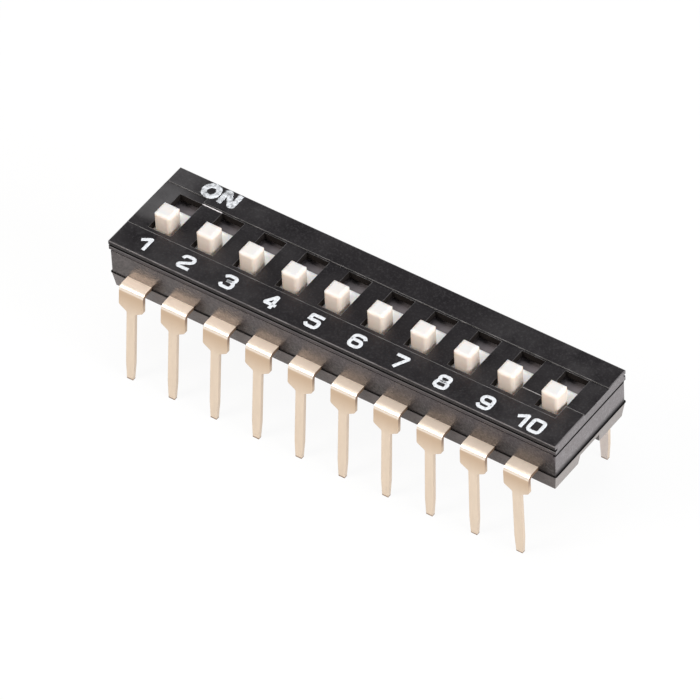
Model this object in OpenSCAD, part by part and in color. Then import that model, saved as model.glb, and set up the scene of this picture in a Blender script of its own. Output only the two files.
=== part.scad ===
// Slide-type DIP switch: a row of small two-state switches in one housing,
// with two rows of through-hole leads. X runs along the row from position 1,
// Y runs from OFF to ON, Z is up. The lead tips stand on z = 0 and the
// housing is centred over the origin. All sizes are in millimetres.

/* [Layout] */
// Number of switches in the row
positions = 10; // [4:1:12]
// Distance between neighbouring switches
pitch = 2.54; // [2.5:0.01:3]
// Distance between the two rows of leads, at the level of the underside
row_spacing = 7.62; // [7.4:0.01:9]

/* [Cover] */
// From the centre of the last slot to the end of the cover
end_margin = 1.77; // [1.7:0.01:2.5]
// Width of the cover, across the row
cover_w = 6.18; // [6.1:0.01:7]
// Height of the cover's outer sides
cover_h = 0.60; // [0.56:0.01:1]
// Thickness of the cover over the sliders
roof_t = 0.45; // [0.4:0.01:0.5]
// How far the cover stands out over the base, on every side
overhang = 0.05; // [0.03:0.01:0.12]
// Radius of the cover's outer edges
cover_r = 0.05; // [0.02:0.01:0.08]
// Thickness of the lip along the two long sides, above the shadow groove
lip_h = 0.21; // [0.15:0.01:0.3]
// Height of the shadow groove under that lip
groove_h = 0.13; // [0.05:0.01:0.15]
// Depth of the shadow groove, from the edge of the lip
groove_d = 0.2; // [0.1:0.01:0.25]
// Depth of the shallow channel that runs along the top
channel_t = 0.05; // [0.02:0.01:0.1]
// From the slots' front edges to the channel's front edge
channel_front = 0.25; // [0.1:0.01:0.4]
// From the slots' back edges to the channel's back edge
channel_back = 0.08; // [0.05:0.01:0.3]
// Extra width of the channel beside and behind the first slot
channel_step = 0.34; // [0.2:0.01:0.5]
// How much narrower the channel is past the last slot, on its front side
channel_notch = 0.94; // [0.5:0.01:1.5]

/* [Sliders] */
// How far a slider moves from OFF to ON
travel = 1.28; // [1:0.01:1.4]
// Width of a knob, along the row
knob_w = 0.98; // [0.8:0.01:1.1]
// Depth of a knob, along its travel
knob_d = 0.98; // [0.8:0.01:1.1]
// Height of a knob above the cover
knob_h = 0.86; // [0.5:0.01:1.5]
// Radius of a knob's edges
knob_r = 0.18; // [0.05:0.01:0.2]
// Gap between a knob and its slot, on either side
knob_side_clear = 0.2; // [0.1:0.01:0.25]
// Gap between a knob and its slot, at either end of its travel
knob_end_clear = 0.24; // [0.1:0.01:0.3]
// From the middle of the body to the middle of the slots, towards ON
slot_offset = 0.175; // [0:0.005:0.2]
// Width of the sliding plate under the cover
plate_w = 1.8; // [1.6:0.01:1.9]
// Length of the sliding plate, along its travel
plate_l = 2.7; // [2.65:0.01:2.8]
// Thickness of the sliding plate
plate_t = 0.3; // [0.25:0.01:0.4]
// Gap round the sliding plate, and between it and the cover
slide_clear = 0.05; // [0.03:0.01:0.08]
// Gap between the sliding plate and the deck that carries it
deck_clear = 0.02; // [0.01:0.01:0.04]

/* [Moving contacts] */
// Distance between the two feet of a moving contact
wiper_span = 1.15; // [1:0.01:1.2]
// From the knob's middle to the moving contact's middle, towards OFF
wiper_offset = 0.575; // [0.5:0.005:0.6]
// Width of the moving contact
wiper_w = 0.6; // [0.4:0.01:0.8]
// Thickness of its leaf
wiper_t = 0.08; // [0.05:0.01:0.1]
// Radius of its rounded feet
foot_r = 0.08; // [0.05:0.01:0.1]
// Width of the slit that splits each arm in two
wiper_slit = 0.14; // [0.1:0.01:0.2]
// Length of the flat middle that lies in the slider's pocket
wiper_flat = 0.5; // [0.4:0.01:0.6]
// Depth of the pocket in the sliding plate
pocket_t = 0.12; // [0.1:0.01:0.15]
// Radius of the stud that locates the leaf
stud_r = 0.12; // [0.08:0.01:0.15]
// Gap round the leaf in its pocket, and round the stud
wiper_clear = 0.02; // [0.01:0.01:0.05]
// Gap between the feet and the fixed contacts
contact_clear = 0.01; // [0.005:0.005:0.03]

/* [Base] */
// Height of the base above its parting line
upper_h = 1.56; // [1.4:0.01:2]
// Height of the base below its parting line
lower_h = 0.95; // [0.7:0.01:1.2]
// How far the lower part tapers in at the bottom, on every side
lower_draft = 0.13; // [0.05:0.01:0.3]
// Radius of the base's upright corners
base_r = 0.1; // [0.05:0.01:0.2]
// Height of the rebate along the top of the base's long sides
rebate_h = 0.04; // [0.03:0.01:0.12]
// Height of the rebate across the top of its two ends
end_rebate_h = 0.14; // [0.13:0.01:0.2]
// Depth of both rebates
rebate_d = 0.1; // [0.05:0.01:0.15]
// Width of the shoulder that the cover rests on
shoulder_w = 0.56; // [0.5:0.01:0.6]
// Gap between the cover's underside and the base's deck, and round the deck
cover_clear = 0.02; // [0.01:0.01:0.04]
// How far the flash stands out at the parting line
flash_out = 0.05; // [0.02:0.01:0.08]
// Height of that flash
flash_h = 0.04; // [0.02:0.01:0.08]
// Depth of the contact trough in the deck
trough_d = 0.25; // [0.2:0.01:0.3]
// Width of the contact trough
trough_w = 1.1; // [1:0.01:1.3]
// Height of the passage under the base
arch_h = 0.56; // [0.3:0.01:0.6]
// Width of that passage at the bottom
arch_w = 1.84; // [1.8:0.01:3]
// Width of that passage at its roof
arch_roof_w = 1.64; // [1.4:0.01:1.8]

/* [Cover pegs] */
// Radius of the pegs that hold the cover to the base
peg_r = 0.2; // [0.15:0.01:0.24]
// Length of the pegs below the cover's roof
peg_l = 1; // [0.7:0.01:1.2]
// Gap round the pegs in their holes
peg_clear = 0.01; // [0.01:0.005:0.03]
// From the middle of the body to the pegs, across the row
peg_y = 1.9; // [1.5:0.01:2]

/* [Leads] */
// Thickness of the lead strip
lead_t = 0.2; // [0.15:0.01:0.25]
// Width of the lead at the bend
lead_w = 1.46; // [1.2:0.01:1.6]
// Radius inside the bend
bend_r = 0.13; // [0.1:0.01:0.2]
// From the top of the strip down to the shoulders' corners
shoulder_drop = 1.19; // [1:0.01:1.4]
// Slope of the shoulders, in degrees
shoulder_slope = 30; // [15:1:40]
// Radius of the shoulders' corners
shoulder_r = 0.15; // [0.1:0.01:0.2]
// Radius of the fillet where the shoulders meet the shank
neck_r = 0.12; // [0.05:0.01:0.2]
// Width of the shank that goes through the board
shank_w = 0.5; // [0.45:0.01:0.6]
// Width of the shank at its tip
tip_w = 0.36; // [0.3:0.01:0.45]
// Length of the tapered tip
tip_l = 1.05; // [0.5:0.01:1.5]
// Length of the leads below the base
lead_l = 4.49; // [3:0.01:5]
// Outward lean of the first position's leads, in degrees
lean_first = 6.5; // [0:0.1:8]
// Outward lean of the last position's leads, in degrees
lean_last = -1; // [-2:0.1:8]
// Width of the fixed contacts in the trough
pad_w = 1; // [0.8:0.01:1.1]
// Gap between a pair of fixed contacts
pad_gap = 0.3; // [0.2:0.01:0.4]
// How far the fixed contacts reach past the moving contact's feet
pad_margin = 0.15; // [0.1:0.01:0.15]
// Length over which a lead drops from its contact to the parting line
ramp_l = 0.5; // [0.4:0.01:0.5]
// How far the wide part of a lead reaches into the base
root_l = 0.5; // [0.3:0.01:0.6]

/* [Hidden] */
$fn = 48;
cut = 0.1; // how far a cutting tool runs past the face that it opens
arc_steps = 6; // straight steps in each small arc of the leads' outline

function names(stem) = [for (i = [1:positions]) str(stem, i)];

// Levels
seat_z = lead_l;                      // underside of the base
part_z = seat_z + lower_h;            // parting line, and underside of the lead strips
rest_z = part_z + upper_h;            // shoulder under the cover's rim
top_z = rest_z + cover_h;             // top of the cover
roof_z = top_z - roof_t;              // underside of the cover, over the sliders
plate_z = roof_z - slide_clear;       // top of the sliding plates
deck_z = plate_z - plate_t - deck_clear;
pad_z = deck_z - trough_d;            // floor of the trough, and top of the fixed contacts
strip_z = part_z + lead_t;            // top of the lead strips

// Plan sizes
row_l = (positions - 1) * pitch;
cover_l = row_l + 2 * end_margin;
base_l = cover_l - 2 * overhang;
base_w = cover_w - 2 * overhang;
deck_l = base_l - 2 * shoulder_w;
deck_w = base_w - 2 * shoulder_w;
cell_w = plate_w + 2 * slide_clear;
cell_l = plate_l + travel + 2 * slide_clear;
slot_w = knob_w + 2 * knob_side_clear;
slot_l = knob_d + travel + 2 * knob_end_clear;

// Places along Y, with the sliders at OFF
knob_y = slot_offset - travel / 2;
wiper_y = knob_y - wiper_offset;
front_foot_y = wiper_y - wiper_span / 2;
back_foot_y = wiper_y + wiper_span / 2;
front_pad_y = [front_foot_y - pad_margin, front_foot_y + travel + pad_margin];
back_pad_y = [front_pad_y[1] + pad_gap, back_foot_y + travel + pad_margin];
peg_x = max(positions / 2 - 2, 0) * pitch;

function position_x(i) = (i - (positions + 1) / 2) * pitch;
// The lean stays near its first value and falls off towards the last position
function lean(i) = lean_first + (lean_last - lean_first) * pow((i - 1) / (positions - 1), 3);

// A box centred in plan, standing on z = low
module block(l, w, low, high) {
    translate([-l / 2, -w / 2, low]) cube([l, w, high - low]);
}

// A rectangle centred on the origin, with round corners
module round_rect(l, w, r) {
    square([l - 2 * r, w], center = true);
    square([l, w - 2 * r], center = true);
    for (x = [-1, 1], y = [-1, 1]) translate([x * (l / 2 - r), y * (w / 2 - r)]) circle(r);
}

// A section with round top corners, standing on y = 0
module round_top(w, h, r) {
    translate([-w / 2, 0]) square([w, h - r]);
    translate([r - w / 2, 0]) square([w - 2 * r, h]);
    for (x = [-1, 1]) translate([x * (w / 2 - r), h - r]) circle(r);
}

// Runs a section drawn in Y and Z along X
module along_x(l) {
    rotate([90, 0, 90]) linear_extrude(l, center = true) children();
}

// Runs a section drawn in X and Z along Y
module along_y(l) {
    rotate([90, 0, 0]) linear_extrude(l, center = true) children();
}

// A block with every edge rounded but those of its underside
module round_block(l, w, h, r) {
    intersection() {
        linear_extrude(h) round_rect(l, w, r);
        along_x(l) round_top(w, h, r);
        along_y(w) round_top(l, h, r);
    }
}

module at_positions() {
    for (i = [1:positions]) translate([position_x(i), 0, 0]) children();
}

module at_pegs() {
    for (x = [-1, 1], y = [-1, 1]) translate([x * peg_x, y * peg_y, 0]) children();
}

// ---- Cover ----

// The long sides: a lip, a shadow groove under it, and a skirt flush with the base
module long_side_cuts() {
    for (side = [-1, 1]) {
        translate([0, side * (base_w / 2 + overhang), 0])
            block(cover_l + 2 * cut, 2 * overhang, rest_z - cut, top_z - lip_h);
        translate([0, side * cover_w / 2, 0])
            block(cover_l + 2 * cut, 2 * groove_d, top_z - lip_h - groove_h, top_z - lip_h);
    }
}

// The shallow channel: wider beside the first slot, narrower past the last one
module channel() {
    end = cover_l / 2 + cut;
    front = slot_offset - slot_l / 2 - channel_front;
    back = slot_offset + slot_l / 2 + channel_back;
    first = position_x(1) + slot_w / 2;
    last = position_x(positions) + slot_w / 2;
    translate([0, 0, top_z - channel_t]) linear_extrude(channel_t + cut)
        polygon([[-end, front], [last, front], [last, front + channel_notch], [end, front + channel_notch],
                 [end, back], [first, back], [first, back + channel_step], [-end, back + channel_step]]);
}

module cover() {
    color("#26262a") {
        difference() {
            translate([0, 0, rest_z]) round_block(cover_l, cover_w, cover_h, cover_r);
            block(deck_l + 2 * cover_clear, deck_w + 2 * cover_clear, rest_z - cut, roof_z);
            long_side_cuts();
            channel();
            at_positions() translate([0, slot_offset, 0])
                block(slot_w, slot_l, roof_z - cut, top_z + cut);
        }
        at_pegs() translate([0, 0, roof_z - peg_l]) cylinder(r = peg_r, h = peg_l);
    }
}

// ---- Base ----

// Lower part: tapers on all four sides, with a passage along its underside
module lower_base() {
    end = base_l / 2;
    side = base_w / 2;
    arch = arch_w / 2;
    roof = arch_roof_w / 2;
    intersection() {
        along_y(base_w) polygon([[lower_draft - end, seat_z], [end - lower_draft, seat_z],
                                 [end, part_z], [-end, part_z]]);
        along_x(base_l) polygon([[lower_draft - side, seat_z], [-arch, seat_z], [-roof, seat_z + arch_h],
                                 [roof, seat_z + arch_h], [arch, seat_z], [side - lower_draft, seat_z],
                                 [side, part_z], [-side, part_z]]);
    }
}

// Upper part: walls, a rebate under the cover's edges, and a deck inside the cover's rim
module upper_base() {
    inner_l = base_l - 2 * rebate_d;
    translate([0, 0, part_z]) linear_extrude(upper_h - end_rebate_h) round_rect(base_l, base_w, base_r);
    intersection() {
        translate([0, 0, part_z]) linear_extrude(upper_h - rebate_h) round_rect(base_l, base_w, base_r);
        block(inner_l, base_w, part_z, rest_z);
    }
    block(inner_l, base_w - 2 * rebate_d, part_z, rest_z);
    block(deck_l, deck_w, part_z, roof_z - cover_clear);
    translate([0, 0, part_z]) linear_extrude(flash_h)
        round_rect(base_l + 2 * flash_out, base_w + 2 * flash_out, base_r);
}

// The space that one sliding plate and its contact move in
module cell() {
    translate([0, slot_offset, 0]) block(cell_w, cell_l, deck_z, roof_z + cut);
    translate([-trough_w / 2, front_pad_y[0], pad_z])
        cube([trough_w, back_pad_y[1] - front_pad_y[0], trough_d + cut]);
}

module base() {
    color("#3a383a") difference() {
        union() {
            lower_base();
            upper_base();
        }
        at_positions() {
            cell();
            lead_root(-front_pad_y[1], -front_pad_y[0]);
            mirror([0, 1, 0]) lead_root(back_pad_y[0], back_pad_y[1]);
        }
        at_pegs() translate([0, 0, roof_z - peg_l - cut])
            cylinder(r = peg_r + peg_clear, h = peg_l + 2 * cut);
    }
}

// ---- Sliders ----

module slider() {
    stud_h = pocket_t - wiper_clear;
    color("#f2ece2") translate([0, knob_y, 0]) {
        difference() {
            block(plate_w, plate_l, plate_z - plate_t, plate_z);
            translate([0, -wiper_offset, 0])
                block(wiper_w + 2 * wiper_clear, wiper_flat + 2 * wiper_clear,
                      plate_z - plate_t - cut, plate_z - plate_t + pocket_t);
            translate([0, -wiper_offset, 0]) arm_relief();
        }
        translate([0, 0, plate_z - knob_r])
            round_block(knob_w, knob_d, top_z + knob_h - plate_z + knob_r, knob_r);
        translate([0, -wiper_offset, plate_z - plate_t + pocket_t - stud_h]) cylinder(r = stud_r, h = stud_h);
    }
}

// Room for the arms beside the pocket, widening towards the plate's underside
module arm_relief() {
    low = plate_z - plate_t;
    arm = wiper_span / 2 + foot_r + wiper_clear;
    along_x(wiper_w + 2 * wiper_clear)
        polygon([[-arm, low - cut], [-arm, low], [-wiper_flat / 2, low + pocket_t],
                 [wiper_flat / 2, low + pocket_t], [arm, low], [arm, low - cut]]);
}

// ---- Moving contacts ----

// One bowed leaf: a flat middle, two sloping arms and a round foot on each
module wiper() {
    flat_z = plate_z - plate_t + pocket_t;
    foot_z = pad_z + contact_clear + foot_r;
    flat = wiper_flat / 2;
    foot = wiper_span / 2;
    color("#d9b26a") translate([0, wiper_y, 0]) difference() {
        union() {
            along_x(wiper_w)
                polygon([[-foot - foot_r / 2, foot_z], [-flat, flat_z],
                         [flat, flat_z], [foot + foot_r / 2, foot_z],
                         [foot - foot_r / 2, foot_z], [flat - wiper_t, flat_z - wiper_t],
                         [wiper_t - flat, flat_z - wiper_t], [foot_r / 2 - foot, foot_z]]);
            for (side = [-1, 1]) translate([0, side * foot, foot_z])
                rotate([0, 90, 0]) cylinder(r = foot_r, h = wiper_w, center = true);
        }
        for (side = [-1, 1]) translate([0, side * (foot + foot_r + wiper_t), 0])
            block(wiper_slit, 2 * (foot + foot_r - flat), pad_z, flat_z + cut);
        translate([0, 0, flat_z - wiper_t - cut]) cylinder(r = stud_r + wiper_clear, h = wiper_t + 2 * cut);
    }
}

// ---- Leads ----

// Side view of the strip inside the base, from its contact out to y = wall.
// Drawn in Y and Z, with Y outwards; near and far are the contact's ends.
module strip_section(near, far, wall) {
    drop = pad_z - strip_z;
    mitre = lead_t * tan(atan(drop / ramp_l) / 2);
    polygon([[near, pad_z], [far, pad_z], [far + ramp_l, strip_z], [wall, strip_z],
             [wall, part_z], [far + ramp_l - mitre, part_z], [far - mitre, pad_z - lead_t],
             [near, pad_z - lead_t]]);
}

// Plan of the strip: narrow at the contact, and full width where it leaves the base
module strip_plan(near, wall) {
    translate([-pad_w / 2, near]) square([pad_w, wall - near]);
    translate([-lead_w / 2, base_w / 2 - root_l]) square([lead_w, wall - base_w / 2 + root_l]);
}

// The part of a front lead that the base grips, leading towards -Y
module lead_root(near, far) {
    wall = base_w / 2 + flash_out;
    mirror([0, 1, 0]) intersection() {
        along_x(lead_w) strip_section(near, far, wall);
        translate([0, 0, seat_z]) linear_extrude(top_z - seat_z) strip_plan(near, wall);
    }
}

// Side view of the bend and the leg, drawn in Y and Z, with Y outwards.
// The leg's middle line crosses the underside level at half the row spacing.
module leg_section(start, angle) {
    outer = bend_r + lead_t;
    bend_z = strip_z - outer;
    bend_y = row_spacing / 2 - (outer - lead_t / 2 + (bend_z - seat_z) * sin(angle)) / cos(angle);
    bend = [bend_y, bend_z];
    across = [cos(angle), sin(angle)];
    difference() {
        union() {
            translate([start, bend_z]) square([bend_y - start, outer]);
            translate(bend) circle(outer);
            polygon([bend, bend + outer * across,
                     fall(bend + outer * across, angle, 0), fall(bend, angle, 0)]);
        }
        translate(bend) circle(bend_r);
        polygon([bend, [bend_y, part_z], [start - cut, part_z], [start - cut, -cut],
                 fall(bend + bend_r * across, angle, -cut), bend + bend_r * across]);
    }
}

// Where a line that leaves a point downwards, leaning outwards, reaches the level z
function fall(point, angle, z) = [point[0] + (point[1] - z) * tan(angle), z];

function arc(centre, r, from, to) =
    [for (i = [0:arc_steps]) let(a = from + (to - from) * i / arc_steps) centre + r * [cos(a), sin(a)]];

// Right half of the leg's front view, from the bend down to the tip: a round
// shoulder, its slope, a small fillet at the neck, the shank and its taper
function half_leg() =
    let(corner = [lead_w / 2 - shoulder_r, strip_z - shoulder_drop + shoulder_r * cos(shoulder_slope)],
        slope = corner + shoulder_r * [sin(shoulder_slope), -cos(shoulder_slope)],
        neck_z = slope[1] - (slope[0] - shank_w / 2) * tan(shoulder_slope),
        half_turn = (90 - shoulder_slope) / 2,
        fillet = [shank_w / 2 + neck_r, neck_z - neck_r * tan(half_turn)])
    concat([[lead_w / 2, strip_z]],
           arc(corner, shoulder_r, 0, shoulder_slope - 90),
           arc(fillet, neck_r, 90 + shoulder_slope, 180),
           [[shank_w / 2, tip_l], [tip_w / 2, 0]]);

module leg_front() {
    half = half_leg();
    last = len(half) - 1;
    polygon(concat(half, [for (i = [0:last]) [-half[last - i][0], half[last - i][1]]]));
}

// A whole lead on the front side; near and far are the ends of its contact
module lead(near, far, angle) {
    color("#e0c08a") {
        lead_root(near, far);
        mirror([0, 1, 0]) intersection() {
            along_x(lead_w) leg_section(base_w / 2 - root_l, angle);
            translate([0, row_spacing / 2, 0]) along_y(row_spacing) leg_front();
        }
    }
}

module lead_front(i) {
    lead(-front_pad_y[1], -front_pad_y[0], lean(i));
}

module lead_back(i) {
    mirror([0, 1, 0]) lead(back_pad_y[0], back_pad_y[1], lean(i));
}

cover();
base();
for (i = [1:positions]) translate([position_x(i), 0, 0]) {
    slider();
    wiper();
    lead_front(i);
    lead_back(i);
}
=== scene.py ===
import math
from functools import reduce

import bmesh
import bpy
from bpy.props import FloatProperty, FloatVectorProperty, IntProperty, PointerProperty
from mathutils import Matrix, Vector


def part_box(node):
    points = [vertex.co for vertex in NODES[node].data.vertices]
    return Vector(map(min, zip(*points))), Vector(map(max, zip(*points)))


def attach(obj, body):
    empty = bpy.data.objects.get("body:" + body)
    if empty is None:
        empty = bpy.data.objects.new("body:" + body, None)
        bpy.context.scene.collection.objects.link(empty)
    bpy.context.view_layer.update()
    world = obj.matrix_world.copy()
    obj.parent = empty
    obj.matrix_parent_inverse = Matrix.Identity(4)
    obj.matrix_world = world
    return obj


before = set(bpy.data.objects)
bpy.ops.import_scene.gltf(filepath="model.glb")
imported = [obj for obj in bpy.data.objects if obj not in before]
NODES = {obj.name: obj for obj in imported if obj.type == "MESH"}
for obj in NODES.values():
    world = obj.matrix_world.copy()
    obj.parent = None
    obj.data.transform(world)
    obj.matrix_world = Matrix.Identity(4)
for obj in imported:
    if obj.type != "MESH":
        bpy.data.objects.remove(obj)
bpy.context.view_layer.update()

bl_info = {
    "name": "DIP Switch",
    "version": (1, 0, 0),
    "blender": (4, 5, 0),
    "location": "View3D > Sidebar > DIP Switch",
    "description": "Finishes, printed legends and moulding marks for a slide-type DIP switch",
    "category": "Object",
}

MM = 0.001
SENSOR_WIDTH = 36.0  # of the camera, in millimetres

# How near two points are when they count as level, and when they count as the same
HAIR = 0.001 * MM
SAME = 0.0001 * MM

# The Z of a face's direction: above the first two it is level or nearly so, below the last upright
LEVEL, FLAT, STEEP = 0.9999, 0.9, 0.1

COVER_LOW, COVER_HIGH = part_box("cover")
BASE_LOW, BASE_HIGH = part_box("base")
POSITIONS = sum(name.startswith("slider_") for name in NODES)


def middle_x(node):
    """Where a node's middle lies along the row"""
    low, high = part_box(node)
    return (low.x + high.x) / 2


def points(node):
    """Every vertex of a node, in metres"""
    return [NODES[node].matrix_world @ vertex.co for vertex in NODES[node].data.vertices]


def level_faces(node):
    """The heights of a node's level upper faces, from the top down"""
    place = NODES[node].matrix_world
    faces = [face for face in NODES[node].data.polygons if face.normal.z > LEVEL]
    heights = {round((place @ face.center).z / MM, 3) for face in faces}
    return [height * MM for height in sorted(heights, reverse=True)]


def rims(node, level):
    """The upper edges of a node's upright walls at one level, as pairs of points"""
    shape = bmesh.new()
    shape.from_mesh(NODES[node].data)
    shape.transform(NODES[node].matrix_world)
    bmesh.ops.remove_doubles(shape, verts=shape.verts, dist=SAME)
    pairs = []
    for edge in shape.edges:
        slopes = sorted(abs(face.normal.z) for face in edge.link_faces)
        at_level = all(abs(vertex.co.z - level) < 5 * HAIR for vertex in edge.verts)
        if at_level and len(slopes) == 2 and slopes[0] < STEEP and slopes[1] > FLAT:
            pairs.append(tuple(vertex.co.copy() for vertex in edge.verts))
    shape.free()
    return pairs


PITCH = middle_x("slider_2") - middle_x("slider_1")

# Heights: the cover's three upper levels, and the underside of the lips over its grooves
TOP, CHANNEL_FLOOR, GROOVE_FLOOR = level_faces("cover")[:3]
LIP = min(p.z for p in points("cover") if p.z > GROOVE_FLOOR + 0.01 * MM and p.y < COVER_LOW.y + 0.01 * MM)

# Heights: the lower edge of the cover's ends, the top of the base's ends, and the base's parting line
SKIRT = min(p.z for p in points("cover") if p.x > COVER_HIGH.x - 0.01 * MM)
END_TOP = max(p.z for p in points("base") if p.x > BASE_HIGH.x - 0.08 * MM)
PARTING = min(p.z for p in points("base") if p.x > BASE_HIGH.x - HAIR)

# Heights: the top of a slider's plate, and the top of a lead outside the base
PLATE = level_faces("slider_1")[1]
SHOULDER = max(p.z for p in points("lead_front_1") if p.y < BASE_LOW.y - 0.1 * MM)

SLOT_RIMS = rims("cover", CHANNEL_FLOOR)


def slot_box(i):
    """Left, right, front and back of the slot at one position"""
    near = [p for pair in SLOT_RIMS for p in pair if abs(p.x - middle_x(f"slider_{i}")) < PITCH / 2]
    return min(p.x for p in near), max(p.x for p in near), min(p.y for p in near), max(p.y for p in near)


# ---- Sizes and colours that a user may change ----

def colour(name, description, default):
    return FloatVectorProperty(name=name, description=description, subtype="COLOR", size=3,
                               min=0.0, max=1.0, default=default)


def length(name, description, millimetres):
    return FloatProperty(name=name, description=description, unit="LENGTH", precision=6,
                         min=0.0, default=millimetres * MM)


def share(name, description, default):
    return FloatProperty(name=name, description=description, subtype="FACTOR", min=0.0, max=1.0,
                         default=default)


def lamp_power(name, description, watts):
    return FloatProperty(name=name, description=description, unit="POWER", min=0.0, default=watts)


def location(name, description, metres):
    return FloatVectorProperty(name=name, description=description, subtype="TRANSLATION", unit="LENGTH",
                               precision=5, size=3, default=metres)


class DIPSWITCH_PG_housing(bpy.types.PropertyGroup):
    """Finish of the cover and the base"""
    top_colour: colour("Top", "Colour of the cover's top", (0.006, 0.006, 0.008))
    lip_colour: colour("Lip", "Colour of the cover's long edges", (0.012, 0.011, 0.012))
    side_colour: colour("Long sides", "Colour of the two long walls", (0.024, 0.019, 0.023))
    # Painted light: the end walls are coloured paler than the long walls, as lit by the lamp at the right
    end_colour: colour("Ends", "Colour of the two end walls, which catch more dust", (0.108, 0.100, 0.106))
    lower_side_colour: colour("Lower sides", "Colour of the long walls below the parting line",
                              (0.072, 0.063, 0.062))
    # Painted light: the lower ends are paler than the lower long walls for the same lamp, over the lower
    # part's own paler tone
    lower_end_colour: colour("Lower ends", "Colour of the end walls below the parting line",
                             (0.19, 0.17, 0.16))
    # Painted shade in the grooves, at the joint and along the parting line
    recess_colour: colour("Recesses", "Colour of the grooves and of the joint", (0.005, 0.005, 0.005))
    # Painted shade on the upright walls inside the slots
    slot_colour: colour("Slot walls", "Colour of the upright walls inside the slots", (0.020, 0.017, 0.016))
    # Painted light: the level faces and walls inside the base are coloured paler than the plastic, as lit
    deck_colour: colour("Deck", "Colour of the level faces inside the slots", (0.17, 0.155, 0.165))
    # Painted sheen on the top; the same colour also serves for the dust
    haze_colour: colour("Haze", "Colour of the handling haze on the top", (0.135, 0.135, 0.14))
    # Painted highlight on the cover's upper edges
    wear_colour: colour("Worn edges", "Colour of the cover's rubbed upper edges", (0.16, 0.155, 0.16))
    shine_colour: colour("Shine", "Tint of the reflections in the plastic", (1.0, 0.86, 0.82))
    edge_radius: length("Edge radius", "Radius of the small edges", 0.03)


class DIPSWITCH_PG_slider(bpy.types.PropertyGroup):
    """Finish of the sliders"""
    # Painted light and shade: the tops are darker, the sides warmer and the plate paler than the plastic's
    # own colour
    top_colour: colour("Top", "Colour of the sliders' tops", (0.67, 0.67, 0.67))
    plate_colour: colour("Plate", "Colour of the plate round the knob", (0.97, 0.95, 0.92))
    side_colour: colour("Sides", "Colour of their sides, where more light comes through", (0.85, 0.74, 0.65))
    # Painted shade deep in the corners
    corner_colour: colour("Corners", "Colour deep in the corners between a slider and its slot",
                          (0.10, 0.08, 0.07))
    corner_depth: length("Corner depth", "How far from a wall a corner still counts as deep", 0.5)
    edge_radius: length("Edge radius", "Radius of the small edges", 0.16)
    glow_depth: length("Glow depth", "How deep light goes into the plastic", 0.25)


class DIPSWITCH_PG_metal(bpy.types.PropertyGroup):
    """Finish of the leads and the moving contacts"""
    plating_colour: colour("Plating", "Colour of the gold plating", (0.75, 0.62, 0.49))
    # Painted light on the level faces
    flat_colour: colour("Flat tops", "Colour of the plating on the level faces", (0.97, 0.84, 0.71))
    # Painted highlight on the bends
    bend_colour: colour("Bends", "Colour of the plating where a bend has burnished it", (0.90, 0.80, 0.70))
    # Painted shade on the leads' inner faces
    dull_colour: colour("Inner faces", "Colour of the leads' inner faces", (0.78, 0.69, 0.635))
    shade_colour: colour("Below the bend", "Colour of the plating just below the bend", (0.57, 0.42, 0.29))
    # Bare cut metal, darkened further as painted shade where the lamp at the right falls on the edges
    sheared_colour: colour("Sheared edge", "Colour of the cut edges of the strip", (0.24, 0.15, 0.10))
    edge_radius: length("Edge radius", "Radius of the small edges", 0.02)


class DIPSWITCH_PG_legends(bpy.types.PropertyGroup):
    """Printed numbers and ON"""
    ink_colour: colour("Ink", "Colour of the ink", (0.66, 0.69, 0.73))
    digit_height: length("Digit height", "Height of a printed number", 0.98)
    digit_width: length("Digit width", "Width of a printed number", 0.82)
    digit_stroke: length("Digit stroke", "Width of the strokes of a number", 0.205)
    digit_margin: length("Digit margin", "From the cover's front edge to the foot of a number", 0.35)
    digit_shift: length("Digit shift", "How far a number is printed before its slider's middle", 0.15)
    print_drop: length("Print drop", "How much lower the last number is printed", 0.125)
    word_height: length("Word height", "Height of the word ON", 1.08)
    word_width: length("Word letter width", "Width of a letter of the word ON", 1.05)
    word_stroke: length("Word stroke", "Width of the strokes of the word ON", 0.31)
    word_step: length("Word letter step", "From one letter of the word ON to the next", 1.1)
    word_margin: length("Word margin", "From the cover's first end to the word ON", 1.78)
    word_drop: length("Word drop", "From the cover's back edge to the foot of the word ON", 1.12)
    ink_height: length("Ink height", "Thickness of the ink", 0.02)
    raggedness: length("Raggedness", "How far the numbers' edges wander", 0.016)
    word_raggedness: length("Word raggedness", "How far the edges of the word ON wander", 0.072)


class DIPSWITCH_PG_marks(bpy.types.PropertyGroup):
    """Fine burrs that the mould leaves on the cover"""
    # Painted highlight: the burrs are coloured pale so that they read as lit edges
    burr_colour: colour("Burrs", "Colour of the palest burrs", (0.34, 0.33, 0.34))
    burr_radius: length("Burr radius", "Radius of a burr", 0.018)
    burr_wander: length("Burr wander", "How far a burr wanders", 0.008)
    # The ridge, with its painted highlight, runs only this far from the end
    ridge_length: length("Ridge length", "How far the ridge reaches along the row from its end", 6.15)
    seed: IntProperty(name="Seed", description="Seed of the burrs' wander", default=3, min=0)


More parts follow.
